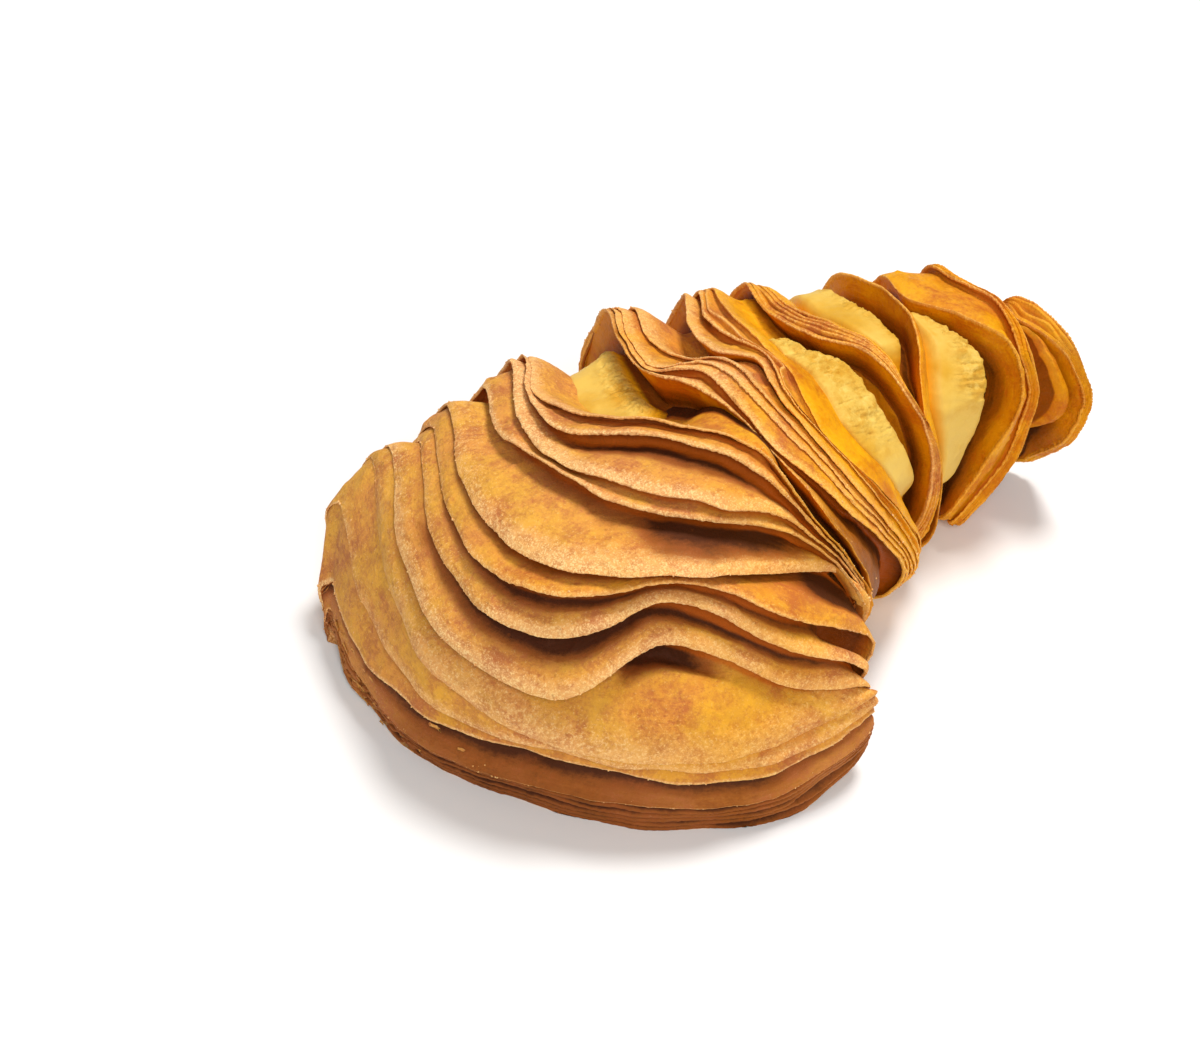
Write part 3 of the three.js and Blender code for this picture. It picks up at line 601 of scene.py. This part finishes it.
def blisters(i):
    """Small bubbles baked into a leaf: place, share, radius and height of each"""
    count = int(RANDOM.integers(*BLISTER_COUNT))
    strewn = [[RANDOM.uniform(*limits) for limits in BLISTER_RANGES] for _ in range(count)]
    return strewn + [blister[1:] for blister in BLISTERS if blister[0] == NAMES[i]]


def blistered(i, share, bubbles, step_along):
    """How far the bubbles lift leaf i at a share of its width"""
    lift = np.zeros_like(TURNS)
    for place, at, radius, height in bubbles:
        far = np.hypot((ROUND - place) * step_along, (share - at) * spacing(i))
        lift += height * np.exp(-(far / radius) ** 2)
    return lift


def leaf_shade(i, share):
    """How dark leaf i is painted, as shade with some browning towards its root and in its valley, and
    how much painted glow it has, at a share of its width
    """
    rim = RIMS[i]
    depth = cleft_depth(i)
    from_root = (1 - share) * spacing(i)
    if rim["bed"]:
        sunk = smooth(share, *(bound * rim["bed"] for bound in BED_DARK))
        sunk = sunk + VALLEY_END_DARK * smooth(share, *VALLEY_END)
        glow = 0.0
    else:
        sunk = 1 - smooth(from_root / np.clip(SHADE_OF_WIDTH * spacing(i), *SHADE_WIDTHS))
        glow = (1 - smooth(from_root / GLOW_WIDTH)) * smooth(depth, *GLOW_DEPTHS)
    deep = round_horn(rim["base"]) + round_horn(rim["bake"]) * sunk * smooth(depth / OPEN_DEPTH)
    return deep + forms(i, share, "dark"), glow


def add_leaf(rows, i, gold):
    """The outside of leaf i up to the next rim, and the floor of the cleft that runs in under it"""
    rim = RIMS[i]
    width = spacing(i)
    bubbles = blisters(i)
    step_along = np.linalg.norm(np.gradient(LOOPS[i], PLACE, axis=0), axis=1)
    for share in leaf_shares(i):
        lift = blistered(i, share, bubbles, step_along)
        points = on_envelope(i, share, leaf_sag(i, share) - lift)
        pale = round_horn(rim["pale"]) * (1 - smooth(share * width / rim["band"]))
        deep, glow = leaf_shade(i, share)
        rows.add(points, i, wide=share * width, pale=pale, deep=deep, gold=gold, glow=glow)
    # The floor of the cleft under the next leaf is painted dark as shade, with a painted glow
    depth, bake, end = cleft_depth(i), round_horn(rim["bake"]), pocket(i, 1.0)
    opened = smooth(depth, *CLEFT_OPENS)
    if not rim["bed"]:
        halfway = (points + end) / 2 + INNER[i + 1] * (ROOT_BOW * depth)[:, None]
        rows.add(halfway, i, wide=width + 1, deep=np.maximum(bake, 0.6 * opened), gold=gold, glow=0.8)
    rows.add(end, i, wide=width + 2, deep=np.maximum(bake, 0.9 * opened), gold=gold, glow=0.5)


def broken_steps():
    """Stepped depths along a broken ply, only where the foot is ragged"""
    steps = RANDOM.random(BREAKS) * (RANDOM.random(BREAKS) > 0.5)
    at = np.repeat(np.arange(BREAKS), 2) + np.tile(BREAK_EDGES, BREAKS)
    return BREAK_DEPTH * np.interp(TURNS * BREAKS, at, np.repeat(steps, 2)) * between(*RAGGED, 0.3)


def add_plies(rows, i, gold):
    """A bundle of leaf edges lying side by side from rim i to the next, in places fanned open"""
    rim = RIMS[i]
    plies = rim["plies"]
    width = spacing(i)
    leaf = np.minimum(PLY, PLY_CROWDED * width / plies)
    weights = np.array([np.exp(PLY_SPREAD * ripple((2, 9), 1.0)) for _ in range(plies)])
    gaps = (width - plies * leaf) * weights / weights.sum(axis=0)
    floury, base = round_horn(rim["pale"]), round_horn(rim["base"])
    start = np.zeros_like(TURNS)
    for gap in gaps:
        lift = ripple((3, 14), 0.12)
        sink = broken_steps() if NAMES[i] == "foot" else 0.0
        groove = np.minimum(GROOVE + GROOVE_OF_GAP * gap, GROOVE_MOST) + sink
        # Painted shade, with some browning, in the groove behind each ply
        dark = np.maximum(round_horn(rim["bake"]) * smooth(gap, 0.05, 1.0), 0.3)
        nick = ripple((80, 240), NICK, 8)
        for along, behind, depth, pale, deep in PLY_PROFILE:
            at = (start + leaf * along + gap * behind) / width
            sunk = depth * groove + sink * (1 - depth) + (lift + nick) * (1 - depth)
            rows.add(on_envelope(i, np.clip(at, 0, 1), sunk), i, wide=at * width, pale=pale * floury,
                     deep=base + deep * dark, gold=gold)
        start = start + leaf + gap
    # The end of the cleft, painted dark as shade
    rows.add(pocket(i, 1.0), i, wide=width, deep=0.7, gold=gold)


def add_unit(rows, i):
    """One leaf: its underside, its edge, and its outside as far as the cleft under the next leaf"""
    gold = leaf_gold(i)
    if i:
        add_underside(rows, i, gold)
    add_edge(rows, i, gold)
    if RIMS[i]["plies"] > 1:
        add_plies(rows, i, gold)
    else:
        add_leaf(rows, i, gold)


def add_tip(rows, i):
    """The last rim and the leaf that closes the tail"""
    gold = leaf_gold(i)
    add_underside(rows, i, gold)
    add_edge(rows, i, gold)
    # The closing leaf is hollowed, and painted darker in its hollow as shade
    for share in TIP_SHARES:
        curve = math.sin(math.pi * share)
        rows.add(on_envelope(i, share, TIP_HOLLOW * curve), i, wide=8 * share, pale=0.3 * (1 - share),
                 deep=0.6 * curve, gold=gold)


def leaf_gold(i):
    """How yellow leaf i is, a little more or less than its neighbours"""
    return round_horn(RIMS[i]["gold"]) + RANDOM.uniform(-0.12, 0.12)


def leaf_pieces():
    """The leaves as closed pieces, each with the end of the cleft before it as its first row"""
    pieces = []
    for name, (first, last) in STOPS.items():
        rows = Rows()
        start, stop = NAMES.index(first), NAMES.index(last)
        # A piece that starts at the end of a cleft has that row painted dark as shade
        if start:
            rows.add(pocket(start - 1, 1.0), start, deep=0.9)
        for i in range(start, stop):
            add_unit(rows, i)
        if last == "tip":
            add_tip(rows, stop)
        tail = Vector((np.array(TAIL_END) - ORIGIN) * MM) if last == "tip" else None
        pieces.append(grid_object(name, rows, tail))
    return pieces


# Meshes
def warped(points):
    """The points shifted by soft noise of three sizes, so that nothing runs quite straight"""
    moved = np.array(points)
    for size, amount in WARPS:
        shift = np.array([noise.noise_vector(Vector(p)) for p in points / size])
        moved += shift * amount
    return moved


def grid_object(name, rows, tip=None):
    """A closed surface through the rows: a grid whose vertices are moved to them, its seam merged"""
    last = len(rows.points) - 1
    bm = bmesh.new()
    bmesh.ops.create_grid(bm, x_segments=COLUMNS, y_segments=last, size=0.5)
    mesh = bpy.data.meshes.new(name)
    bm.to_mesh(mesh)
    bm.free()
    flat = np.empty(len(mesh.vertices) * 3)
    mesh.vertices.foreach_get("co", flat)
    flat = flat.reshape(-1, 3)
    column = np.rint((flat[:, 0] + 0.5) * COLUMNS).astype(int)
    row = np.rint((flat[:, 1] + 0.5) * last).astype(int)
    places = (warped(np.array(rows.points)[row, column]) - ORIGIN) * MM
    places[:, 2] = np.maximum(places[:, 2], 0.0)
    mesh.vertices.foreach_set("co", places.ravel())
    set_looks(mesh, {kind: np.array(value)[row, column] for kind, value in rows.values.items()})
    bm = bmesh.new()
    bm.from_mesh(mesh)
    seam = [v for v, c in zip(bm.verts, column) if c in (0, COLUMNS)]
    bmesh.ops.remove_doubles(bm, verts=seam, dist=1e-6)
    close_ends(bm, tip)
    bmesh.ops.recalc_face_normals(bm, faces=bm.faces)
    bm.to_mesh(mesh)
    bm.free()
    return linked(name, mesh)


def close_ends(bm, tip):
    """Fans over the open ends: each is filled and poked, and the last one's middle moved to the tip"""
    open_edges = [edge for edge in bm.edges if edge.is_boundary]
    if not open_edges:
        return
    filled = bmesh.ops.holes_fill(bm, edges=open_edges, sides=0)["faces"]
    poked = bmesh.ops.poke(bm, faces=filled)["verts"]
    if tip is not None:
        min(poked, key=lambda v: (v.co - tip).length).co = tip


def set_looks(mesh, values):
    """What the finish reads at each vertex"""
    for kind in Rows.LOOKS:
        layer = mesh.attributes.new(kind, "FLOAT", "POINT")
        layer.data.foreach_set("value", np.asarray(values[kind], float))
    along = np.stack([values["run"], values["wide"], np.zeros(len(mesh.vertices))], axis=-1)
    layer = mesh.attributes.new("leaf", "FLOAT_VECTOR", "POINT")
    layer.data.foreach_set("vector", along.ravel())


def linked(name, mesh):
    mesh.polygons.foreach_set("use_smooth", [True] * len(mesh.polygons))
    piece = bpy.data.objects.new(name, mesh)
    bpy.context.scene.collection.objects.link(piece)
    return piece


def plain_object(name, bm, pale=0.9, deep=0.0):
    """A piece whose finish is the same all over"""
    mesh = bpy.data.meshes.new(name)
    bm.to_mesh(mesh)
    bm.free()
    alike = dict(pale=pale, deep=deep, warm=0.2, gold=0.5, glow=0.0, run=0.0, wide=0.0)
    set_looks(mesh, {kind: np.full(len(mesh.vertices), value) for kind, value in alike.items()})
    return linked(name, mesh)


# Choux
def torn_relief(points, size, amount):
    """How far torn crumb sinks or stands at the points: soft lumps with small open pores"""
    lumps = np.array([noise.fractal(Vector(p), *LUMP_NOISE) for p in points / size])
    pores = np.array([noise.voronoi(Vector(p))[0][0] for p in points / (PORE_SIZE * size)])
    return amount * (LUMPS * lumps - PORES * (1 - smooth(pores, 0.1, 0.5)))


def shown_choux(window, share):
    """How far the choux swells out and is torn, at a share of the way from a window's rim to the next"""
    if not window:
        return np.zeros_like(TURNS), np.zeros_like(TURNS)
    rise, fall = smooth(share, *window["rise"]), 1 - smooth(share, *window["fall"])
    shown = between(window["start"], window["end"], 0.2) * rise * fall
    torn = smooth(share, window["torn_from"] - 0.1, window["torn_from"] + 0.15)
    return shown, torn * (1 - smooth(ROUND, window["torn_to"] - 0.9, window["torn_to"] + 0.3))


def choux_core():
    """The choux: the rims drawn in by the leaves' thickness, swelling out where a window shows it"""
    rows = Rows()
    for i in range(NAMES.index(CORE_FIRST), NAMES.index(CORE_END)):
        window = next((w for w in WINDOWS if w["behind"] == NAMES[i]), None)
        steps = CORE_ROWS if window else 1
        for step in range(steps):
            share = (step + 0.5) / steps
            shown, torn = shown_choux(window, share)
            cover = np.full_like(TURNS, CORE_COVER)
            if window:
                cover = cover + (round_horn(window["cover"]) - cover) * shown
            skin = LOOPS[i] + (LOOPS[i + 1] - LOOPS[i]) * share
            centre = CENTRES[i] + (CENTRES[i + 1] - CENTRES[i]) * share
            radius = np.linalg.norm(skin - centre, axis=1)
            way = unit(centre - skin)
            points = skin + way * np.minimum(cover, CORE_SLIMMEST * radius)[:, None]
            if window:
                relief = torn * torn_relief(points, TORN_SIZE, TORN_AMOUNT)
                relief = relief + (1 - torn) * torn_relief(points, CALM_SIZE, CALM_AMOUNT)
                points = points - way * (smooth(shown, 0.1, 0.7) * relief)[:, None]
            points[:, 2] = np.maximum(points[:, 2], CORE_FLOOR)
            rows.add(points, i, pale=torn, deep=shown)
    return grid_object("choux_core", rows)


# Crumbs and flakes
def crumb_piece():
    """Tiny crumbs and grains of flour along the rims and just behind them"""
    bm = bmesh.new()
    for _ in range(CRUMBS):
        i = int(RANDOM.integers(1, NAMES.index("wing")))
        column = column_at(RANDOM.uniform(-1.2, 6.4))
        share = 0.0 if RANDOM.random() < CRUMBS_AT_RIM else RANDOM.uniform(0.02, 0.3)
        depth = leaf_sag(i, share)[column]
        spot = on_envelope(i, share, depth - 0.03)[column]
        spot = warped(spot[None, :])[0]
        size = CRUMB_SIZE + CRUMB_MORE * RANDOM.random() ** 4
        turn = Matrix.Rotation(RANDOM.uniform(0, math.tau), 4, Vector(RANDOM.normal(size=3)))
        shape = Matrix.Diagonal((*(size * RANDOM.uniform(0.5, 1.5, 3) * MM), 1.0))
        place = Matrix.Translation(Vector((spot - ORIGIN) * MM))
        bmesh.ops.create_icosphere(bm, subdivisions=1, radius=1.0, matrix=place @ turn @ shape)
    return plain_object("rim_crumbs", bm)


def flake_mesh(spot, along, out):
    """One curled flake of crust at a spot, with its length along the rim"""
    across = np.cross(out, along)
    length, wide = RANDOM.uniform(0.8, 2.6), RANDOM.uniform(0.3, 0.8)
    flake = bmesh.new()
    bmesh.ops.create_grid(flake, x_segments=5, y_segments=2, size=0.5)
    for vert in flake.verts:
        x, y = vert.co.x, vert.co.y
        jitter = RANDOM.uniform(-0.14, 0.14, 3)
        curl = FLAKE_CURL * x * x * length
        vert.co = Vector(spot + along * (x + jitter[0]) * length + across * (y + jitter[1]) * wide
                         + out * (curl + 0.3 * jitter[2]))
    bmesh.ops.solidify(flake, geom=flake.faces[:], thickness=FLAKE_THICKNESS)
    bmesh.ops.translate(flake, verts=flake.verts, vec=Vector(-ORIGIN))
    bmesh.ops.scale(flake, verts=flake.verts, vec=Vector((MM, MM, MM)))
    bmesh.ops.recalc_face_normals(flake, faces=flake.faces)
    mesh = bpy.data.meshes.new("flake")
    flake.to_mesh(mesh)
    flake.free()
    return mesh


def flake_piece():
    """Loose flakes of crust on the ragged foot"""
    bm = bmesh.new()
    for _ in range(FLAKES):
        i = int(RANDOM.integers(0, 2))
        column = column_at(RANDOM.uniform(-0.9, 2.3))
        spot = on_envelope(i, RANDOM.uniform(0.0, 0.9), 0.05)[column]
        along = unit(LOOPS[i][(column + 3) % COLUMNS] - LOOPS[i][column])
        mesh = flake_mesh(spot, along, -INNER[i][column])
        bm.from_mesh(mesh)
        bpy.data.meshes.remove(mesh)
    for vert in bm.verts:
        vert.co.z = max(vert.co.z, 0.0)
    return plain_object("crust_flakes", bm, pale=0.3, deep=0.25)


# Finishes
class Value:
    """A number that varies over a surface: sums, differences and products add Math nodes"""

    def __init__(self, finish, socket):
        self.finish, self.socket = finish, socket

    def __add__(self, other):
        return self.finish.math("ADD", self, other)

    def __sub__(self, other):
        return self.finish.math("SUBTRACT", self, other)

    def __rsub__(self, other):
        return self.finish.math("SUBTRACT", other, self)

    def __mul__(self, other):
        return self.finish.math("MULTIPLY", self, other)

    __radd__ = __add__
    __rmul__ = __mul__


class Finish:
    """A material built from nodes by short calls"""

    def __init__(self, name):
        self.material = bpy.data.materials.new(name)
        self.material.use_nodes = True
        self.tree = self.material.node_tree
        self.shader = self.tree.nodes["Principled BSDF"]

    def node(self, kind, settings=None, inputs=None):
        made = self.tree.nodes.new(kind)
        for key, value in (settings or {}).items():
            setattr(made, key, value)
        for key, value in (inputs or {}).items():
            self.feed(made.inputs[key], value)
        return made

    def feed(self, socket, value):
        if isinstance(value, Value):
            value = value.socket
        if isinstance(value, bpy.types.NodeSocket):
            self.tree.links.new(value, socket)
        else:
            socket.default_value = value

    def surface(self, **sockets):
        """Feeds the shader's own sockets, named with _ for each space"""
        for name, value in sockets.items():
            self.feed(self.shader.inputs[name.replace("_", " ")], value)

    def math(self, operation, *values):
        made = self.node("ShaderNodeMath", {"operation": operation}, dict(enumerate(values)))
        return Value(self, made.outputs[0])

    def step(self, value, low=0.0, high=1.0):
        """0 up to low and 1 from high on, with a soft rise between"""
        made = self.node("ShaderNodeMapRange", {"interpolation_type": "SMOOTHSTEP"},
                         {"Value": value, "From Min": low, "From Max": high})
        return Value(self, made.outputs["Result"])

    def attribute(self, name):
        return Value(self, self.node("ShaderNodeAttribute", {"attribute_name": name}).outputs["Fac"])

    def places(self):
        return self.node("ShaderNodeTexCoord").outputs["Object"]

    def stretched(self, size):
        """Places along and across a leaf, in units of size, for streaks that follow it"""
        leaf = self.node("ShaderNodeAttribute", {"attribute_name": "leaf"}).outputs["Vector"]
        return self.node("ShaderNodeMapping", None, {"Vector": leaf, "Scale": size}).outputs[0]

    def noise(self, scale, detail=4.0, rough=0.55, warp=0.0, where=None):
        made = self.node("ShaderNodeTexNoise", None, {
            "Vector": where or self.places(), "Scale": scale, "Detail": detail, "Roughness": rough,
            "Distortion": warp})
        return Value(self, made.outputs["Fac"])

    def mix(self, factor, first, second):
        made = self.node("ShaderNodeMix", {"data_type": "RGBA"},
                         {0: factor, 6: self._colour(first), 7: self._colour(second)})
        return made.outputs[2]

    def bump(self, height, strength, distance):
        values = {"Strength": strength, "Distance": distance, "Height": height}
        return self.node("ShaderNodeBump", None, values).outputs[0]

    def _colour(self, value):
        return (*value, 1.0) if isinstance(value, tuple) else value


def sway(texture, amount):
    """How far a noise moves a value to either side"""
    return (texture - 0.5) * amount


def srgb(red, green, blue):
    return tuple(((c / 255 + 0.055) / 1.055) ** 2.4 if c > 10 else c / 3294 for c in (red, green, blue))


# Colours of the leaves on the left flank and the foot, and of those on the right flank and the tail;
# rust and umber also serve as painted shade down in the clefts, with some browning, and ember as a
# painted glow of light through the dough
MILD = dict(
    cream=srgb(255, 216, 150), flour=srgb(240, 180, 116), gold=srgb(236, 178, 62),
    face=srgb(224, 152, 72), rose=srgb(190, 114, 64), rust=srgb(146, 76, 32),
    umber=srgb(70, 34, 20), ember=srgb(200, 98, 16))
STRONG = dict(
    cream=srgb(252, 196, 84), flour=srgb(242, 172, 56), gold=srgb(244, 178, 14),
    face=srgb(216, 134, 0), rose=srgb(194, 102, 6), rust=srgb(144, 72, 2),
    umber=srgb(66, 30, 2), ember=srgb(190, 86, 0))

# Colours of the choux: smooth, in broad deeper patches, where it is toasted, and in its open pores
CREAM = srgb(226, 186, 84)
BUTTER = srgb(214, 162, 48)
TOAST = srgb(200, 140, 34)
PORE = srgb(250, 216, 120)

# Noises: scale, detail, roughness and warp
LEAF_NOISES = dict(
    broad=(42.0, 3.0, 0.55), blotch=(150.0, 6.0, 0.68), patch=(95.0, 5.0, 0.62, 0.4),
    grain=(1500.0, 3.0, 0.75), fine=(3400.0, 2.0, 0.7), speck=(420.0, 6.0, 0.8),
    freckle=(700.0, 2.0, 0.5))
STREAKS = (1.0, 4.0, 0.65, 0.3)
STREAK_STRETCH = (0.16, 0.85, 1.0)
CHOUX_NOISES = dict(crumb=(560.0, 6.0, 0.72), lump=(190.0, 4.0, 0.6), broad=(80.0, 3.0, 0.5))
SPECULAR = dict(leaf=0.1, choux=0.2)


def leaf_finish():
    """Baked leaves: floury at the rim, golden on the face, with rust and umber down in the cleft as
    painted shade and some browning

    pale: flour; deep: how dark it is, browned and painted as shade in the clefts; warm: tan or orange;
    gold: yellow patches;
    glow: a painted glow of light through the dough, orange where a leaf touches the next; leaf: places
    along and across the leaf.
    """
    look = Finish("baked_leaf")
    pale, deep, warm, gold, glow = (look.attribute(kind) for kind in Rows.LOOKS)
    broad, blotch, patch, grain, fine, speck, freckle = (
        look.noise(*settings) for settings in LEAF_NOISES.values())
    streak = look.noise(*STREAKS, look.stretched(STREAK_STRETCH))
    rough = 1.0 - warm * 0.6
    heat = look.step(warm + sway(broad, 0.9) + sway(blotch, 0.5), 0.15, 0.9)
    shade = {key: look.mix(heat, MILD[key], STRONG[key]) for key in MILD}

    mottle = look.step(blotch + sway(streak, 0.45) + sway(grain, 0.4) * rough, 0.36, 0.58)
    face = look.mix(mottle, shade["rose"], shade["face"])
    yellow = look.step(patch + gold * 0.2 + sway(grain, 0.4) * rough, 0.48, 0.76)
    # The yellow patches fade where the leaf is darker: browning, and painted shade down in its cleft
    baked = look.step(deep, 0.1, 0.9)
    face = look.mix(yellow * (0.4 + gold * 0.4) * (1.0 - baked * 0.75), face, shade["gold"])
    dust = look.step(pale + sway(blotch, 1.3) + sway(grain, 0.8) + sway(broad, 0.8), 0.2, 0.95)
    face = look.mix(dust * 0.75, face, shade["flour"])
    face = look.mix(look.step(speck, 0.46, 0.64) * rough * 0.62, face, shade["rose"])
    bright = look.step(fine + sway(grain, 0.6) + sway(pale, 0.16), 0.52, 0.7)
    face = look.mix(bright * rough * (0.45 + dust * 0.5), face, shade["cream"])

    # Painted shade with some browning: rust and umber darken each leaf down in its cleft; ember is a
    # painted glow of light through the dough
    sunk = deep + sway(blotch, 0.75) + sway(streak, 0.6) + sway(grain, 0.45) * rough + sway(broad, 0.6)
    face = look.mix(look.step(sunk, 0.22, 0.8) * 0.88, face, shade["rust"])
    face = look.mix(look.step(sunk, 0.7, 1.35) * 0.92, face, shade["umber"])
    face = look.mix(look.step(glow + sway(streak, 0.6), 0.3, 0.95) * 0.7, face, shade["ember"])
    face = look.mix(look.step(freckle, 0.66, 0.76) * rough * 0.4, face, shade["rust"])

    relief = (grain * 0.6 + fine * 0.25) * rough + blotch * 0.6 + streak * 0.25
    look.surface(Base_Color=face, Roughness=0.66 + sway(grain, 0.3) - warm * 0.18,
                 Normal=look.bump(relief, 0.6, 0.0008), Specular_IOR_Level=SPECULAR["leaf"])
    return look.material


def choux_finish():
    """Soft choux: cream where it is smooth, toasted and open where it is torn, golden along its border,
    and rust as painted shade where it sinks under the leaves

    pale: how far it is torn; deep: how far it swells out between the leaves.
    """
    look = Finish("baked_choux")
    torn, shown = look.attribute("pale"), look.attribute("deep")
    crumb, lump, broad = (look.noise(*settings) for settings in CHOUX_NOISES.values())
    body = look.mix(look.step(broad + sway(lump, 0.4), 0.38, 0.66), CREAM, BUTTER)
    body = look.mix(look.step(crumb + sway(lump, 0.5), 0.46, 0.72) * (0.12 + torn * 0.6), body, TOAST)
    body = look.mix(look.step(1 - crumb, 0.5, 0.68) * torn * 0.5, body, PORE)
    body = look.mix(1 - look.step(shown + sway(broad, 0.3), 0.5, 0.97), body, STRONG["gold"])
    # Painted shade: rust where the choux sinks away under the leaves
    body = look.mix(1 - look.step(shown + sway(lump, 0.3), 0.1, 0.6), body, STRONG["rust"])
    relief = crumb * (0.2 + torn * 0.8) + lump * 0.4
    look.surface(Base_Color=body, Roughness=0.5 + torn * 0.2, Normal=look.bump(relief, 0.55, 0.0009),
                 Specular_IOR_Level=SPECULAR["choux"])
    return look.material


# Stage
AZIMUTH = math.radians(-33.0)
ELEVATION = math.radians(45.0)
DISTANCE = 0.590
TARGET = (np.array([-10.0, 28.0, 0.0]) - ORIGIN) * MM
LENS_MM = 100.0
SENSOR_MM = 36.0
TABLE_HALF = 3.0
TABLE_WHITE = (0.9, 0.9, 0.9, 1.0)
STUDIO_WHITE = (1.0, 1.0, 1.0, 1.0)
STUDIO_POWER = 0.32
LIGHTS = dict(
    key=dict(place=(0.52, 0.15, 1.38), size=0.45, power=17.0, colour=(1.0, 0.985, 0.96)),
    fill=dict(place=(-0.50, -1.00, 1.15), size=0.7, power=12.0, colour=(1.0, 0.98, 0.95)))


def camera():
    lens = bpy.data.cameras.new("view")
    lens.lens = LENS_MM
    lens.sensor_width = SENSOR_MM
    lens.sensor_fit = "HORIZONTAL"
    lens.clip_start = 0.01
    stand = bpy.data.objects.new("view", lens)
    back = Vector((math.sin(AZIMUTH) * math.cos(ELEVATION), -math.cos(AZIMUTH) * math.cos(ELEVATION),
                   math.sin(ELEVATION)))
    stand.location = Vector(TARGET) + back * DISTANCE
    stand.rotation_euler = back.to_track_quat("Z", "Y").to_euler()
    bpy.context.scene.collection.objects.link(stand)
    bpy.context.scene.camera = stand


def soft_light(name, place, size, power, colour):
    """A round lamp that looks at the middle of the table"""
    lamp = bpy.data.lights.new(name, "AREA")
    lamp.shape = "DISK"
    lamp.size = size
    lamp.energy = power
    lamp.color = colour
    holder = bpy.data.objects.new(name, lamp)
    holder.location = place
    holder.rotation_euler = Vector(place).to_track_quat("Z", "Y").to_euler()
    bpy.context.scene.collection.objects.link(holder)


def table():
    bm = bmesh.new()
    bmesh.ops.create_grid(bm, x_segments=1, y_segments=1, size=TABLE_HALF)
    mesh = bpy.data.meshes.new("table_top")
    bm.to_mesh(mesh)
    bm.free()
    top = bpy.data.objects.new("table_top", mesh)
    look = Finish("table_white")
    look.surface(Base_Color=TABLE_WHITE, Roughness=0.9)
    mesh.materials.append(look.material)
    bpy.context.scene.collection.objects.link(top)


def surroundings():
    world = bpy.data.worlds.new("studio")
    world.use_nodes = True
    background = world.node_tree.nodes["Background"]
    background.inputs["Color"].default_value = STUDIO_WHITE
    background.inputs["Strength"].default_value = STUDIO_POWER
    bpy.context.scene.world = world
    bpy.context.scene.view_settings.view_transform = "Standard"
    for name, light in LIGHTS.items():
        soft_light(name, **light)


camera()
surroundings()
table()
baked = leaf_finish()
for piece in leaf_pieces() + [crumb_piece(), flake_piece()]:
    piece.data.materials.append(baked)
    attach(piece, "root")
    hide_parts("pastry_shell")
core = choux_core()
core.data.materials.append(choux_finish())
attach(core, "root")
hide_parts("choux_filling")
